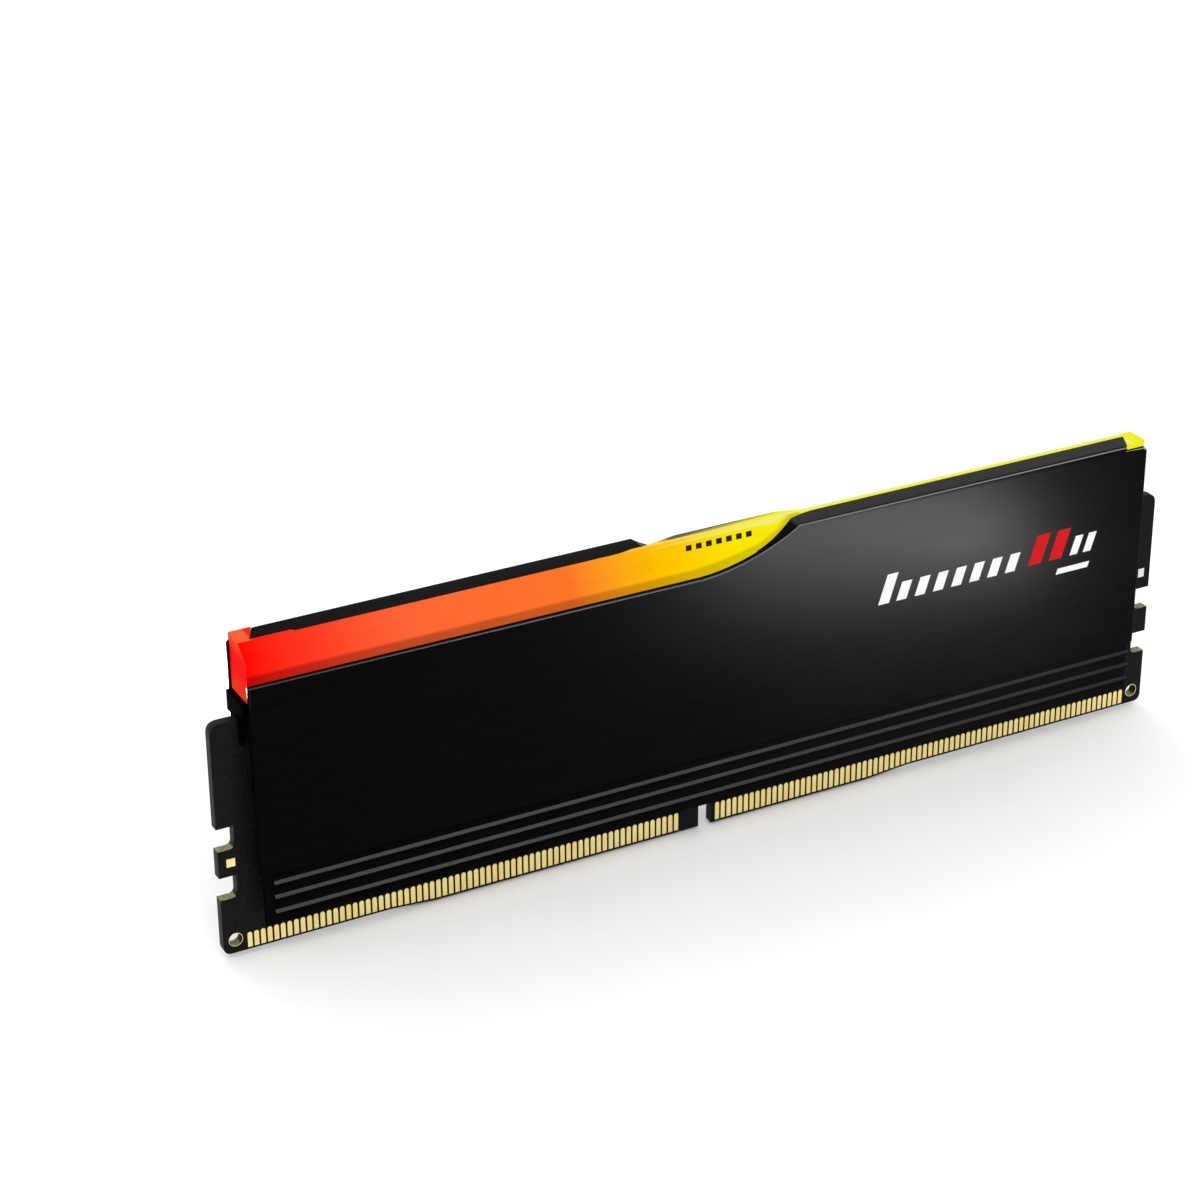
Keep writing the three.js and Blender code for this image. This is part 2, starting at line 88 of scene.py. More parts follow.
# ---- Pads and rims on the board ----
HOLE_X = 65.1
HOLE_Z = 2.25
HOLE_RADIUS = 0.82
RIM_WIDTH = 0.10
RIM_GAP = 0.01
PLATING = 0.03
PAD_CHAMFER = 0.02
VIA_RIM = 1.6
VIA_PROUD = 1.8
TEST_PAD = {"x": -65.09, "z": 12.8, "width": 1.1, "height": 1.1, "via": 0.2}
PROBE_PAD = {"x": 65.26, "z": 19.9, "width": 0.95, "height": 1.25}
RING_STEPS = 40

# ---- Printed marks ----
INK = 0.012
SLANT = 0.32
# The front panel's mark: (lower left corner x, z, width, height) of each leaning bar.
SMALL_BAR_FIRST = 24.6
SMALL_BAR_PITCH = 2.75
SMALL_BAR_COUNT = 7
PANEL_MARK = {
    "white": [
        (21.9, 26.6, 1.6, 4.0),
        *[(SMALL_BAR_FIRST + SMALL_BAR_PITCH * i, 26.6, 1.5, 2.5) for i in range(SMALL_BAR_COUNT)],
        (51.2, 26.8, 1.2, 2.6), (53.3, 26.8, 1.2, 2.6), (49.2, 24.5, 5.0, 0.8),
    ],
    "red": [(44.7, 26.8, 2.0, 4.0), (47.9, 26.8, 2.0, 4.0)],
}
# The sloped front of the crown, and the row of dashes on it.
CROWN_TOP_HALF = 1.2
CROWN_FOOT_HALF = 2.45
CROWN_DROP = 1.7
DASH_FIRST = -5.1
DASH_PITCH = 1.4
DASH_COUNT = 7
DASH_WIDTH = 0.8
DASH_LOW = 39.70
DASH_HIGH = 40.25

# ---- Light bar ----
# The lit colour along the bar as (x, (r, g, b)): red at the left end, through orange, to yellow.
GLOW_STOPS = [
    (-62.4, (1.00, 0.002, 0.001)), (-54.0, (1.00, 0.040, 0.016)), (-42.0, (1.00, 0.130, 0.035)),
    (-21.0, (1.00, 0.180, 0.022)), (-10.0, (1.00, 0.500, 0.000)), (2.0, (0.98, 0.790, 0.000)),
    (14.0, (0.88, 0.860, 0.010)),
]
GLOW_SPAN = 62.4
GLOW_STRENGTH = 0.97
# Painted shade: a dimmer strip along the plates, where the plate beside the bar shades it. Its top edge is
# level, then rises by this much for each square millimetre past the start of the rise, and it keeps these
# shares of the glow.
STRIP_TOP = 37.3
STRIP_RISE_START = -6.0
STRIP_RISE = 0.0133
STRIP_END = 11.5
STRIP_SOFT = 0.2
STRIP_SHARE_LEFT = 0.54
STRIP_SHARE_MIDDLE = 0.70
STRIP_SHARE_SPAN = (-40.0, 2.0)
# The left end face as (share of its height, colour), between these heights.
LEFT_END_STOPS = [
    (0.0, (0.78, 0.042, 0.014)), (0.4, (0.96, 0.001, 0.0)), (0.75, (0.96, 0.001, 0.0)),
    (1.0, (0.93, 0.065, 0.022)),
]
LEFT_END_SPAN = (34.0, 40.5)
# The flat top carries a painted reflection of the sky: paler towards the right, with a cap of its own colour
# at each end.
SKY_REFLECTION_YELLOW = (0.84, 0.86, 0.26)
SKY_REFLECTION_SPAN = (-20.0, 13.0)
LEFT_CAP_REFLECTION = (0.93, 0.13, 0.034)
CAP_START = 60.6
CAP_SOFT = 0.2
# The part of the crown's top that is turned away from the lamps inside, where a grey reflection of the
# backdrop is painted: its middle along x, and its half length with the soft end.
PAINTED_REFLECTION_GREY = (0.11, 0.105, 0.085)
UNLIT_MIDDLE = 3.0
UNLIT_HALF = (9.0, 11.0)
UNLIT_DEPTH = (0.2, 0.4)

# ---- Painted highlight on the sheet's top folds, and the bare edges of the board ----
# The painted highlight on the sheet's folds and edges: it starts at this height, in this grey.
FOLD_HIGHLIGHT_FROM = 33.0
FOLD_HIGHLIGHT_GREY = (0.024, 0.024, 0.024)
BARE_LAMINATE_BELOW = 30.0

# ---- Edge rounding of the CAD parts ----
WELD_DISTANCE = 0.0005
SHARP_DEGREES = 40.0
BEVEL_STEPS = 2


# ---- Helpers ----

def metres(point):
    return tuple(value * MM for value in point)


def new_object(name, data):
    made = bpy.data.objects.new(name, data)
    bpy.context.scene.collection.objects.link(made)
    return made


def mesh_object(name, vertices, faces, look):
    """A mesh from vertices in millimetres."""
    mesh = bpy.data.meshes.new(name)
    mesh.from_pydata([metres(v) for v in vertices], [], faces)
    mesh.validate()
    mesh.update()
    mesh.materials.append(look)
    return new_object(name, mesh)


def ride_as(piece):
    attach(piece, "root")
    return piece


class Look:
    """A node material: one Principled shader and what feeds it."""

    def __init__(self, name, color, roughness, **sockets):
        self.material = bpy.data.materials.new(name)
        self.material.use_nodes = True
        self.tree = self.material.node_tree
        self.shader = self.tree.nodes["Principled BSDF"]
        self.shader.inputs["Base Color"].default_value = (*color, 1)
        self.shader.inputs["Roughness"].default_value = roughness
        for socket, value in sockets.items():
            self.shader.inputs[socket.replace("_", " ")].default_value = value
        self.place = self.node("ShaderNodeTexCoord").outputs["Object"]

    def node(self, kind, **settings):
        made = self.tree.nodes.new(kind)
        for key, value in settings.items():
            setattr(made, key, value)
        return made

    def link(self, output, node, socket):
        self.tree.links.new(output, node.inputs[socket])

    def feed(self, output, socket):
        self.link(output, self.shader, socket)

    def stretched(self, scale):
        """Object coordinates times a scale for each axis, in features per metre."""
        mapping = self.node("ShaderNodeMapping")
        self.link(self.place, mapping, "Vector")
        mapping.inputs["Scale"].default_value = scale
        return mapping.outputs["Vector"]

    def noise(self, scale, detail=4.0, roughness=0.55):
        """Noise between 0 and 1; scale is features per metre along x, y and z."""
        made = self.node("ShaderNodeTexNoise")
        made.inputs["Scale"].default_value = 1.0
        made.inputs["Detail"].default_value = detail
        made.inputs["Roughness"].default_value = roughness
        self.link(self.stretched(scale), made, "Vector")
        return made.outputs["Fac"]

    def ramp(self, value, stops):
        """Colour stops as (position, (r, g, b))."""
        made = self.node("ShaderNodeValToRGB")
        made.color_ramp.interpolation = "LINEAR"
        elements = made.color_ramp.elements
        while len(elements) < len(stops):
            elements.new(0.5)
        for element, (position, color) in zip(elements, stops):
            element.position = position
            element.color = (*color, 1)
        self.link(value, made, "Fac")
        return made.outputs["Color"]

    def levels(self, value, low, high, at_low, at_high):
        """Turns low to high into at_low to at_high, and stays level beyond both."""
        made = self.node("ShaderNodeMapRange")
        self.link(value, made, "Value")
        for socket, number in zip(("From Min", "From Max", "To Min", "To Max"), (low, high, at_low, at_high)):
            made.inputs[socket].default_value = number
        return made.outputs["Result"]

    def math(self, operation, first, second):
        made = self.node("ShaderNodeMath", operation=operation)
        for index, value in enumerate((first, second)):
            if isinstance(value, (int, float)):
                made.inputs[index].default_value = value
            else:
                self.tree.links.new(value, made.inputs[index])
        return made.outputs["Value"]

    def mix(self, factor, first, second, blend="MIX"):
        made = self.node("ShaderNodeMix", data_type="RGBA", blend_type=blend)
        colors = [socket for socket in made.inputs if socket.type == "RGBA"]
        if isinstance(factor, (int, float)):
            made.inputs[0].default_value = factor
        else:
            self.tree.links.new(factor, made.inputs[0])
        for socket, value in zip(colors, (first, second)):
            if isinstance(value, tuple):
                socket.default_value = (*value, 1)
            else:
                self.tree.links.new(value, socket)
        return [socket for socket in made.outputs if socket.type == "RGBA"][0]

    def split(self, vector):
        made = self.node("ShaderNodeSeparateXYZ")
        self.link(vector, made, "Vector")
        return made.outputs

    def facing(self):
        """The surface's own direction along x, y and z."""
        coordinates = self.node("ShaderNodeTexCoord")
        return self.split(coordinates.outputs["Normal"])

    def bump(self, height, strength, depth_mm):
        made = self.node("ShaderNodeBump")
        made.inputs["Strength"].default_value = strength
        made.inputs["Distance"].default_value = depth_mm * MM
        self.link(height, made, "Height")
        self.feed(made.outputs["Normal"], "Normal")


# ---- Materials ----

def anodised_look():
    """Black anodised sheet: satin, with a very fine grain, slow patches in its gloss and a painted highlight
    along its top folds.
    """
    look = Look("anodised_black", (0.0004, 0.0004, 0.00045), 0.3, Specular_IOR_Level=0.01)
    grain = look.noise((9000, 9000, 9000), detail=3.0)
    cloud = look.noise((45, 45, 70), detail=3.0)
    streak = look.noise((160, 5000, 5200), detail=3.0)
    tone = look.mix(0.5, look.levels(grain, 0.3, 0.7, 0.0, 1.0), look.levels(streak, 0.3, 0.7, 0.0, 1.0))
    black = look.ramp(tone, [(0.0, (0.0001, 0.0001, 0.0001)), (1.0, (0.0005, 0.0005, 0.00055))])
    # Painted highlight: a pale grey base colour on the outside of the folds and edges near the top stands in
    # for the light they catch.
    z = look.facing()["Z"]
    start = look.levels(z, 0.12, 0.25, 0.0, 1.0)
    stop = look.levels(z, 0.40, 0.60, 1.0, 0.0)
    height = look.split(look.place)["Z"]
    high = look.levels(height, FOLD_HIGHLIGHT_FROM * MM, (FOLD_HIGHLIGHT_FROM + 1.0) * MM, 0.0, 1.0)
    painted_fold_highlight = look.math("MULTIPLY", look.math("MULTIPLY", start, stop), high)
    look.feed(look.mix(painted_fold_highlight, black, FOLD_HIGHLIGHT_GREY), "Base Color")
    slow = look.levels(cloud, 0.3, 0.7, 0.27, 0.31)
    gloss = look.math("ADD", slow, look.levels(grain, 0.3, 0.7, -0.02, 0.03))
    look.feed(gloss, "Roughness")
    look.bump(grain, 0.25, 0.004)
    return look.material


def board_look():
    """Black solder mask over a woven laminate, with the bare laminate on the cut edges."""
    look = Look("black_solder_mask", (0.006, 0.006, 0.0065), 0.45, Specular_IOR_Level=0.05)
    grain = look.noise((3300, 3300, 3300), detail=5.0, roughness=0.65)
    mask = look.ramp(grain, [(0.30, (0.0008, 0.0008, 0.0009)), (0.72, (0.012, 0.012, 0.013))])
    fibre = look.noise((2600, 5200, 2600), detail=4.0, roughness=0.7)
    cloth = [(0.32, (0.05, 0.05, 0.028)), (0.5, (0.23, 0.22, 0.125)), (0.7, (0.52, 0.50, 0.33))]
    laminate = look.ramp(fibre, cloth)
    x, y, z = look.facing()
    upward = look.levels(z, 0.6, 0.9, 0.0, 1.0)
    height = look.split(look.place)["Z"]
    notch = look.levels(height, (BARE_LAMINATE_BELOW + 0.5) * MM, BARE_LAMINATE_BELOW * MM, 0.0, 1.0)
    raw = look.math("MULTIPLY", upward, notch)
    rim = look.mix(raw, (0.012, 0.012, 0.012), laminate)
    cut = look.levels(look.math("ABSOLUTE", y, 0.0), 0.5, 0.8, 1.0, 0.0)
    look.feed(look.mix(cut, mask, rim), "Base Color")
    look.feed(look.levels(grain, 0.3, 0.75, 0.36, 0.62), "Roughness")
    look.bump(grain, 0.55, 0.03)
    return look.material


def gold_look():
    """Hard gold on nickel: pale, a little brushed, with slow changes of tone along the row."""
    look = Look("hard_gold", (0.95, 0.78, 0.36), 0.3, Metallic=1.0)
    cloud = look.noise((700, 700, 420), detail=4.0)
    brush = look.noise((14000, 9000, 900), detail=3.0)
    tone = look.mix(0.45, cloud, brush)
    look.feed(look.ramp(tone, [(0.3, (0.97, 0.71, 0.21)), (0.7, (1.0, 0.92, 0.46))]), "Base Color")
    look.feed(look.levels(brush, 0.25, 0.75, 0.24, 0.44), "Roughness")
    look.bump(brush, 0.2, 0.004)
    return look.material


def chip_look():
    """Moulded epoxy: dark grey with a fine sandy texture."""
    look = Look("moulded_epoxy", (0.022, 0.022, 0.023), 0.55)
    sand = look.noise((8000, 8000, 8000), detail=4.0)
    look.feed(look.ramp(sand, [(0.3, (0.014, 0.014, 0.015)), (0.7, (0.034, 0.034, 0.035))]), "Base Color")
    look.feed(look.levels(sand, 0.3, 0.7, 0.48, 0.66), "Roughness")
    look.bump(sand, 0.4, 0.012)
    return look.material


def carrier_look():
    """Black polycarbonate with a light spark-eroded texture."""
    look = Look("black_polycarbonate", (0.001, 0.001, 0.0011), 0.5, Specular_IOR_Level=0.002)
    spark = look.noise((5200, 5200, 5200), detail=4.0)
    tone = look.ramp(spark, [(0.3, (0.0004, 0.0004, 0.0005)), (0.7, (0.0018, 0.0018, 0.002))])
    look.feed(tone, "Base Color")
    look.feed(look.levels(spark, 0.3, 0.7, 0.42, 0.60), "Roughness")
    look.bump(spark, 0.35, 0.012)
    return look.material


def pad_look():
    """Filled silicone pad: grey, dull and slightly mottled."""
    look = Look("silicone_pad", (0.060, 0.064, 0.070), 0.85, Specular_IOR_Level=0.25)
    fill = look.noise((2400, 2400, 2400), detail=5.0)
    look.feed(look.ramp(fill, [(0.3, (0.040, 0.043, 0.048)), (0.7, (0.085, 0.090, 0.098))]), "Base Color")
    look.bump(fill, 0.5, 0.03)
    return look.material


def speckled_look(name, dark, light, roughness, metallic):
    """A small pressed or sintered part: two near tones in a fine speckle."""
    look = Look(name, dark, roughness, Metallic=metallic)
    speckle = look.noise((6000, 6000, 6000), detail=4.0)
    look.feed(look.ramp(speckle, [(0.3, dark), (0.7, light)]), "Base Color")
    look.feed(look.levels(speckle, 0.3, 0.7, roughness - 0.08, roughness + 0.1), "Roughness")
    look.bump(speckle, 0.3, 0.01)
    return look.material


def ink_look(name, dark, light):
    """Screen print: matt, slightly uneven ink."""
    look = Look(name, light, 0.5, Specular_IOR_Level=0.1)
    screen = look.noise((5200, 5200, 5200), detail=3.0)
    look.feed(look.ramp(screen, [(0.35, dark), (0.65, light)]), "Base Color")
    look.feed(look.levels(screen, 0.3, 0.7, 0.42, 0.6), "Roughness")
    look.bump(screen, 0.2, 0.004)
    return look.material


def glow_along_bar(look):
    """The lit colour by the place along the bar."""
    x = look.split(look.place)["X"]
    share = look.levels(x, -GLOW_SPAN * MM, GLOW_SPAN * MM, 0.0, 1.0)
    return look.ramp(share, [((at + GLOW_SPAN) / (2 * GLOW_SPAN), color) for at, color in GLOW_STOPS])


def painted_shade_strip(look, place, glow):
    """The glow, with painted shade in a strip beside the top edge of the near plate, where that plate shades
    the bar.
    """
    side = look.math("SIGN", place["Y"], 0.0)
    along = look.math("MULTIPLY", place["X"], look.math("MULTIPLY", side, -1.0))
    past = look.math("MAXIMUM", look.math("SUBTRACT", along, STRIP_RISE_START * MM), 0.0)
    rise = look.math("MULTIPLY", look.math("MULTIPLY", past, past), STRIP_RISE / MM)
    under = look.math("SUBTRACT", look.math("ADD", rise, STRIP_TOP * MM), place["Z"])
    below = look.levels(under, -STRIP_SOFT * MM, STRIP_SOFT * MM, 0.0, 1.0)
    near = look.levels(along, STRIP_END * MM, (STRIP_END + 0.5) * MM, 1.0, 0.0)
    low, high = metres(STRIP_SHARE_SPAN)
    share = look.levels(place["X"], low, high, STRIP_SHARE_LEFT, STRIP_SHARE_MIDDLE)
    # Painted shade: inside the strip the glow is scaled down to these shares.
    painted_shade = look.mix(1.0, glow, share, "MULTIPLY")
    return look.mix(look.math("MULTIPLY", below, near), glow, painted_shade)


def end_faces(look, place, glow):
    """The right end face has the glow, and the left one is red with an orange top and foot."""
    low, high = metres(LEFT_END_SPAN)
    climb = look.levels(place["Z"], low, high, 0.0, 1.0)
    left = look.levels(place["X"], -MM, MM, 1.0, 0.0)
    return look.mix(left, glow, look.ramp(climb, LEFT_END_STOPS))


def flat_top(look, place, glow):
    """The flat top with its painted sky reflection, and the part of the crown's top that is turned away from
    the lamps inside, painted with a grey reflection.
    """
    start, full = metres(SKY_REFLECTION_SPAN)
    paler = look.levels(place["X"], start, full, 0.0, 1.0)
    low, high = metres((CAP_START - CAP_SOFT, CAP_START + CAP_SOFT))
    right_cap = look.levels(place["X"], low, high, 1.0, 0.0)
    left_cap = look.levels(place["X"], -high, -low, 1.0, 0.0)
    # Painted sky reflection: the top turns pale yellow towards the right, and the left cap gets a lighter
    # colour of its own.
    top = look.mix(look.math("MULTIPLY", paler, right_cap), glow, SKY_REFLECTION_YELLOW)
    top = look.mix(left_cap, top, LEFT_CAP_REFLECTION)

    near, far = metres(UNLIT_DEPTH)
    behind = look.levels(place["Y"], near, far, 0.0, 1.0)
    from_middle = look.math("ABSOLUTE", look.math("SUBTRACT", place["X"], UNLIT_MIDDLE * MM), 0.0)
    inside, outside = metres(UNLIT_HALF)
    # Painted reflection: grey on the part of the crown's top that is turned away from the lamps inside.
    painted_reflection_mask = look.math("MULTIPLY", behind, look.levels(from_middle, inside, outside, 1.0, 0.0))
    return look.mix(painted_reflection_mask, top, PAINTED_REFLECTION_GREY)


def diffuser_look():
    """Milky acrylic lit from inside: bright slopes, painted shade in a strip along the plates and a painted
    sky reflection on the top.
    """
    look = Look("lit_diffuser", (0.06, 0.02, 0.005), 0.3, Specular_IOR_Level=0.003)
    glow = glow_along_bar(look)
    place = look.split(look.place)
    x, y, z = look.facing()
    haze = look.noise((260, 700, 700), detail=3.0)

    ends = look.levels(look.math("ABSOLUTE", x, 0.0), 0.75, 0.92, 0.0, 1.0)
    lit = look.mix(ends, painted_shade_strip(look, place, glow), end_faces(look, place, glow))
    flat = look.levels(z, 0.93, 0.99, 0.0, 1.0)
    lit = look.mix(flat, lit, flat_top(look, place, glow))

    lit = look.mix(1.0, lit, look.ramp(haze, [(0.3, (0.94, 0.94, 0.94)), (0.7, (1.0, 1.0, 1.0))]), "MULTIPLY")
    look.feed(lit, "Emission Color")
    look.shader.inputs["Emission Strength"].default_value = GLOW_STRENGTH
    look.feed(look.mix(1.0, lit, (0.05, 0.05, 0.05), "MULTIPLY"), "Base Color")
    look.feed(look.levels(haze, 0.3, 0.7, 0.24, 0.36), "Roughness")
    look.bump(look.noise((7000, 7000, 7000), detail=2.0), 0.12, 0.003)
    return look.material


def floor_look():
    """Plain pale paper."""
    look = Look("pale_floor", (0.91, 0.91, 0.91), 0.75, Specular_IOR_Level=0.1)
    paper = look.noise((60, 60, 60), detail=4.0)
    look.feed(look.ramp(paper, [(0.3, (0.90, 0.90, 0.90)), (0.7, (0.92, 0.92, 0.92))]), "Base Color")
    return look.material


# ---- CAD parts that stay ----

def smoothing_group():
    """Geometry nodes that shade every face smooth."""
    group = bpy.data.node_groups.new("shade_smooth", "GeometryNodeTree")
    group.interface.new_socket("Geometry", in_out="INPUT", socket_type="NodeSocketGeometry")
    group.interface.new_socket("Geometry", in_out="OUTPUT", socket_type="NodeSocketGeometry")
    start = group.nodes.new("NodeGroupInput")
    shade = group.nodes.new("GeometryNodeSetShadeSmooth")
    end = group.nodes.new("NodeGroupOutput")
    group.links.new(start.outputs["Geometry"], shade.inputs["Geometry"])
    group.links.new(shade.outputs["Geometry"], end.inputs["Geometry"])
    return group


def round_edges(part, width, smoothing):
    """Joins the split faces of the import, rounds the sharp edges and smooths the shading."""
    weld = part.modifiers.new("weld", "WELD")
    weld.merge_threshold = WELD_DISTANCE * MM
    bevel = part.modifiers.new("soft_edges", "BEVEL")
    bevel.width = width * MM
    bevel.segments = BEVEL_STEPS
    bevel.limit_method = "ANGLE"
    bevel.angle_limit = math.radians(SHARP_DEGREES)
    bevel.harden_normals = True
    smooth = part.modifiers.new("smooth", "NODES")
    smooth.node_group = smoothing
    shade = part.modifiers.new("even_shading", "WEIGHTED_NORMAL")
    shade.keep_sharp = False
    shade.weight = 80


def finish_part(name, look, width, smoothing):
    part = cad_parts[name]
    part.data.materials.clear()
    part.data.materials.append(look)
    round_edges(part, width, smoothing)


def finish_cad_parts():
    chips = chip_look()
    ferrite = speckled_look("ferrite_block", (0.05, 0.05, 0.055), (0.10, 0.10, 0.11), 0.55, 0.2)
    ceramic = speckled_look("sintered_ceramic", (0.30, 0.21, 0.13), (0.42, 0.31, 0.20), 0.45, 0.0)
    housing = speckled_look("led_housing", (0.62, 0.60, 0.52), (0.80, 0.78, 0.70), 0.35, 0.0)
    smoothing = smoothing_group()
    # The start of a node's name: its look and how far its edges are rounded.
    looks = {
        "pcb": (board_look(), 0.06),
        "light_carrier": (carrier_look(), 0.08),
        "light_bar": (diffuser_look(), 0.12),
        "heat_spreader": (anodised_look(), 0.10),
        "dram_chip": (chips, 0.08),
        "power_chip": (chips, 0.06),
        "spd_hub": (chips, 0.05),
        "light_driver": (chips, 0.05),
        "thermal_pad": (pad_look(), 0.08),
        "power_inductor": (ferrite, 0.15),
        "capacitor": (ceramic, 0.08),
        "led": (housing, 0.06),
    }
    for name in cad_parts:
        for start, (look, width) in looks.items():
            if name.startswith(start):
                finish_part(name, look, width, smoothing)


# ---- Contact fingers ----

def contact_edge(x):
    """Height of the board's contact edge, which steps up towards both ends."""
    beyond = max(EDGE_LOW[0] - x, x - EDGE_LOW[1], 0.0)
    return EDGE_RISE * min(beyond / EDGE_RAMP_LENGTH, 1.0)


def finger_outline(x, inset):
    """A finger's outline in (x, z): square at its foot and half round at its top."""
    half = FINGER_WIDTH / 2 - inset
    foot = contact_edge(x) + FINGER_FOOT + inset
    centre = FINGER_TOP - FINGER_WIDTH / 2
    angles = [math.pi * step / FINGER_CROWN_STEPS for step in range(FINGER_CROWN_STEPS + 1)]
    crown = [(x + half * math.cos(angle), centre + half * math.sin(angle)) for angle in angles]
    return [(x - half, foot), (x + half, foot)] + crown


def stack(vertices, faces, rings):
    """Adds one closed solid through rings of points, capped at both ends."""
    first = len(vertices)
    count = len(rings[0])
    for ring in rings:
        vertices.extend(ring)
    for level in range(len(rings) - 1):
        low = first + level * count
        for i in range(count):
            after = (i + 1) % count
            faces.append((low + i, low + after, low + count + after, low + count + i))
    faces.append(tuple(reversed(range(first, first + count))))
    top = first + (len(rings) - 1) * count
    faces.append(tuple(range(top, top + count)))


def finger_row(side, half, look):
    """One row of separate fingers, on the front (side -1) or the back (side 1) of the board."""
    name = f"contacts_{'front' if side < 0 else 'back'}_{half}"
    low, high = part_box(name)
    outer = (low.y if side < 0 else high.y) / MM
    inner = (high.y if side < 0 else low.y) / MM
    layers = [(inner, 0.0), (outer - side * FINGER_EDGE, 0.0), (outer, FINGER_INSET)]
    vertices = []
    faces = []
    for pin in range(PINS[half]):
        x = FIRST_PIN[half] + pin * PITCH
        rings = [[(px, y, pz) for px, pz in finger_outline(x, inset)] for y, inset in layers]
        if side > 0:
            rings = [list(reversed(ring)) for ring in rings]
        stack(vertices, faces, rings)
    row = ride_as(mesh_object(f"fingers_{name}", vertices, faces, look))
    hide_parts(name)


# ---- Pads, rims and marks ----

def slab(name, outline, y_inner, y_outer, look, bevel):
    """A slim closed plate from an outline in (x, z), with its outer rim chamfered."""
    middle_x = sum(x for x, z in outline) / len(outline)
    middle_z = sum(z for x, z in outline) / len(outline)
    reach = max(math.hypot(x - middle_x, z - middle_z) for x, z in outline)
    share = 1 - bevel / reach
    inner = [(middle_x + (x - middle_x) * share, middle_z + (z - middle_z) * share) for x, z in outline]
    vertices = []
    faces = []
    rings = [
        [(x, y_inner, z) for x, z in outline],
        [(x, y_outer + bevel, z) for x, z in outline],
        [(x, y_outer, z) for x, z in inner],
    ]
    stack(vertices, faces, rings)
    return mesh_object(name, vertices, faces, look)


def rectangle(x, z, width, height):
    return [
        (x - width / 2, z - height / 2), (x + width / 2, z - height / 2),
        (x + width / 2, z + height / 2), (x - width / 2, z + height / 2),
    ]


def ring_solid(vertices, faces, x, z, inner, outer, y_in, y_out):
    """A flat plated ring with a chamfered outer edge, around a hole through the board."""
    middle = (inner + outer) / 2
    section = [(outer, y_in), (outer - PLATING, y_out), (middle, y_out), (inner, y_out), (inner, y_in)]
    first = len(vertices)
    count = len(section)
    for step in range(RING_STEPS):
        angle = 2 * math.pi * step / RING_STEPS
        for radius, y in section:
            vertices.append((x + radius * math.cos(angle), y, z + radius * math.sin(angle)))
    for step in range(RING_STEPS):
        here = first + step * count
        there = first + (step + 1) % RING_STEPS * count
        for i in range(count):
            after = (i + 1) % count
            faces.append((here + i, here + after, there + after, there + i))


def hole_rims(look):
    """Plated rims on both faces of the board's two end holes."""
    low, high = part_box("pcb")
    face = high.y / MM
    vertices = []
    faces = []
    for x in (-HOLE_X, HOLE_X):
        for side in (-1, 1):
            ring_solid(
                vertices, faces, x, HOLE_Z, HOLE_RADIUS + RIM_GAP, HOLE_RADIUS + RIM_WIDTH,
                side * (face - PLATING), side * (face + PLATING),
            )
    piece = mesh_object("hole_rims", vertices, faces, look)
    fix_normals(piece)
    ride_as(piece)


def fix_normals(piece):
    """Turns every face of a closed mesh outwards."""
    mesh = bmesh.new()
    mesh.from_mesh(piece.data)
    bmesh.ops.recalc_face_normals(mesh, faces=mesh.faces[:])
    mesh.to_mesh(piece.data)
    mesh.free()


def board_pads(gold, tin):
    """The square test pad with its small via on the left, and the bare pad on the right."""
    low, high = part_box("pcb")
    front = low.y / MM
    pad = rectangle(TEST_PAD["x"], TEST_PAD["z"], TEST_PAD["width"], TEST_PAD["height"])
    ride_as(slab("test_pad", pad, front + PLATING, front - PLATING, gold, PAD_CHAMFER))
    vertices = []
    faces = []
    via = TEST_PAD["via"]
    ring_solid(
        vertices, faces, TEST_PAD["x"], TEST_PAD["z"], via, via * VIA_RIM,
        front, front - VIA_PROUD * PLATING,
    )
    ring = mesh_object("test_pad_via", vertices, faces, gold)
    fix_normals(ring)
    ride_as(ring)
    bare = rectangle(PROBE_PAD["x"], PROBE_PAD["z"], PROBE_PAD["width"], PROBE_PAD["height"])
    ride_as(slab("probe_pad", bare, front + PLATING, front - PLATING, tin, PAD_CHAMFER))


def slanted(x, z, width, height):
    """A leaning bar in (x, z), standing on z with its lower left corner at x."""
    lean = SLANT * height
    return [(x, z), (x + width, z), (x + width + lean, z + height), (x + lean, z + height)]


def panel_mark(white, red):
    """An abstract mark on the front panel: a row of leaning bars, two of them red, and a short rule."""
    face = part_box("heat_spreader_front")[0].y / MM
    for colour, look in (("white", white), ("red", red)):
        for index, bar in enumerate(PANEL_MARK[colour]):
            name = f"panel_mark_{colour}_{index + 1}"
            piece = slab(name, slanted(*bar), face + INK, face - INK, look, INK / 2)
            ride_as(piece)


def slope_marks(ink):
    """A row of small leaning dashes printed on the front slope of the light bar's crown."""
    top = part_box("light_bar")[1].z / MM
    run = (CROWN_FOOT_HALF - CROWN_TOP_HALF) / CROWN_DROP
    length = math.hypot(1.0, run)
    out = Vector((0.0, -1.0 / length, run / length))

    def on_slope(x, z, height):
        return tuple(Vector((x, -CROWN_TOP_HALF - (top - z) * run, z)) + out * height)

    for index in range(DASH_COUNT):
        outline = slanted(DASH_FIRST + DASH_PITCH * index, DASH_LOW, DASH_WIDTH, DASH_HIGH - DASH_LOW)
        vertices = []
        faces = []
        stack(vertices, faces, [[on_slope(px, pz, height) for px, pz in outline] for height in (-INK, INK)])
        ride_as(mesh_object(f"slope_mark_{index + 1}", vertices, faces, ink))


# ---- Scene ----

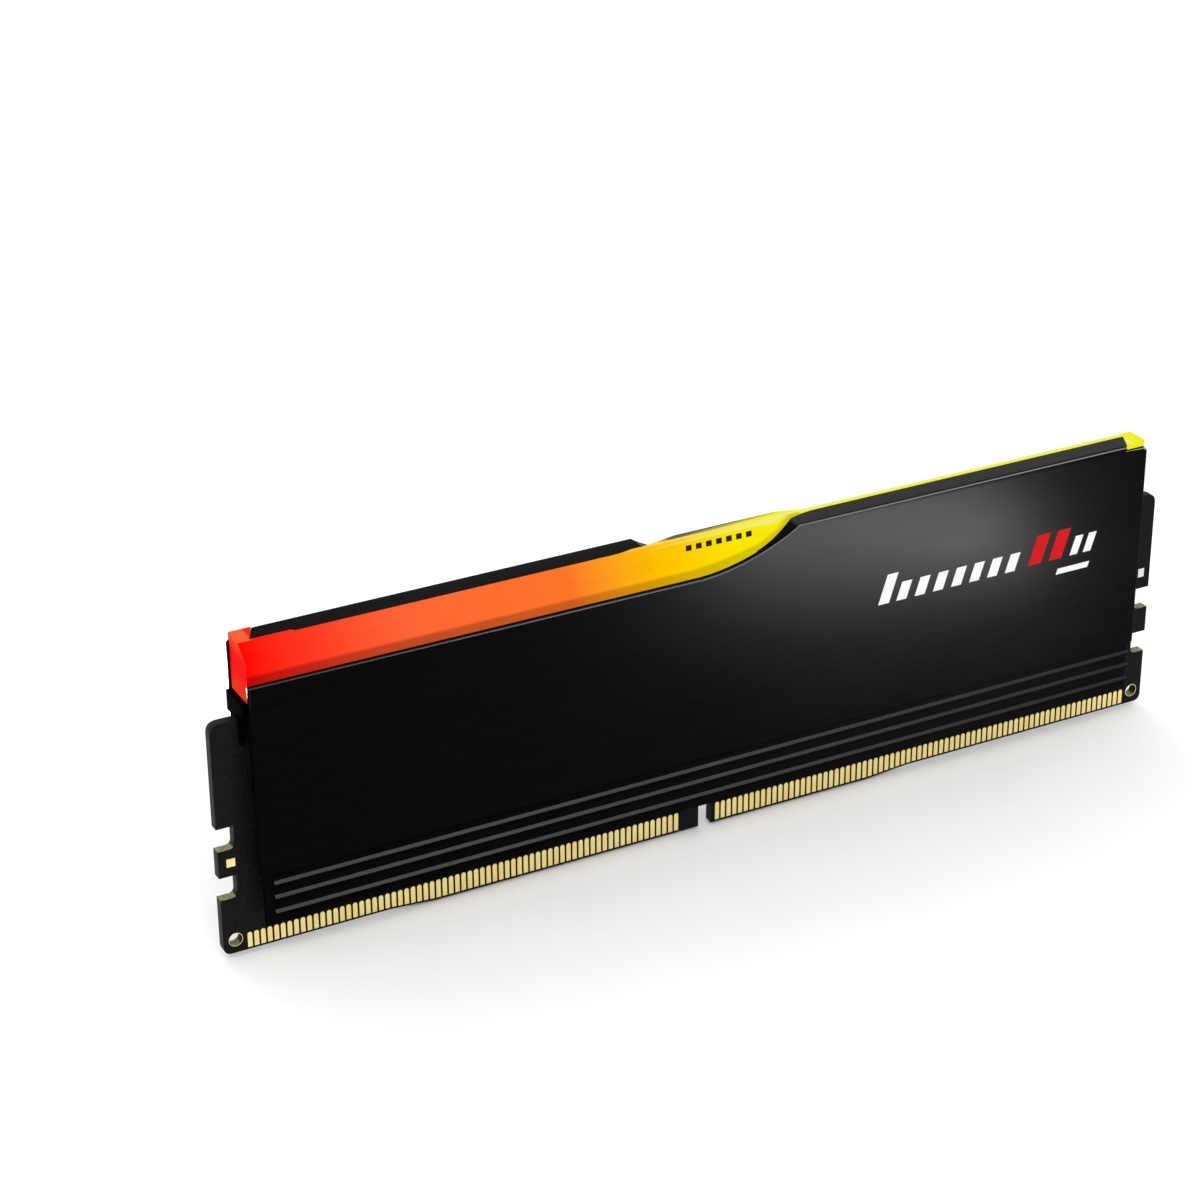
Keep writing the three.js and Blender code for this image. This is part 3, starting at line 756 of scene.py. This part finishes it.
def make_camera():
    data = bpy.data.cameras.new("camera")
    data.lens = LENS
    data.sensor_width = SENSOR
    data.clip_start = 0.01
    data.clip_end = 50.0
    camera = new_object("camera", data)
    camera.location = metres(CAMERA_PLACE)
    camera.rotation_euler = [math.radians(angle) for angle in CAMERA_TURN_DEGREES]
    bpy.context.scene.camera = camera


def lit_group(start, floor):
    """A collection of the floor or the CAD parts whose names begin like this."""
    group = bpy.data.collections.new(f"lit_{start}")
    for name, part in [("floor", floor), *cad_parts.items()]:
        if name.startswith(start):
            group.objects.link(part)
    return group


def make_lights(floor):
    for name, place, target, width, height, power, lit in LIGHTS:
        data = bpy.data.lights.new(name, "AREA")
        data.shape = "RECTANGLE"
        data.size = width * MM
        data.size_y = height * MM
        data.energy = power
        light = new_object(name, data)
        light.location = metres(place)
        aim = Vector(metres(target)) - light.location
        light.rotation_euler = aim.to_track_quat("-Z", "Y").to_euler()
        light.visible_camera = False
        if lit:
            light.light_linking.receiver_collection = lit_group(lit, floor)
    world = bpy.data.worlds.new("studio")
    world.use_nodes = True
    background = world.node_tree.nodes["Background"]
    background.inputs["Color"].default_value = (1.0, 1.0, 1.0, 1.0)
    background.inputs["Strength"].default_value = WORLD_STRENGTH
    bpy.context.scene.world = world
    bpy.context.scene.view_settings.view_transform = "Standard"


def make_floor():
    half = FLOOR_HALF
    corners = [(x, y, -FLOOR_GAP) for x, y in ((-half, -half), (half, -half), (half, half), (-half, half))]
    floor = mesh_object("floor", corners, [(0, 1, 2, 3)], floor_look())
    return floor


def main():
    make_camera()
    make_lights(make_floor())
    finish_cad_parts()
    gold = gold_look()
    for side in (-1, 1):
        for half in ("left", "right"):
            finger_row(side, half, gold)
    hole_rims(gold)
    board_pads(gold, speckled_look("tinned_pad", (0.70, 0.69, 0.62), (0.86, 0.85, 0.78), 0.35, 0.0))
    panel_mark(
        ink_look("white_ink", (0.78, 0.78, 0.78), (0.90, 0.90, 0.90)),
        ink_look("red_ink", (0.52, 0.001, 0.002), (0.64, 0.003, 0.004)),
    )
    slope_marks(ink_look("black_ink", (0.004, 0.004, 0.004), (0.010, 0.010, 0.010)))


main()
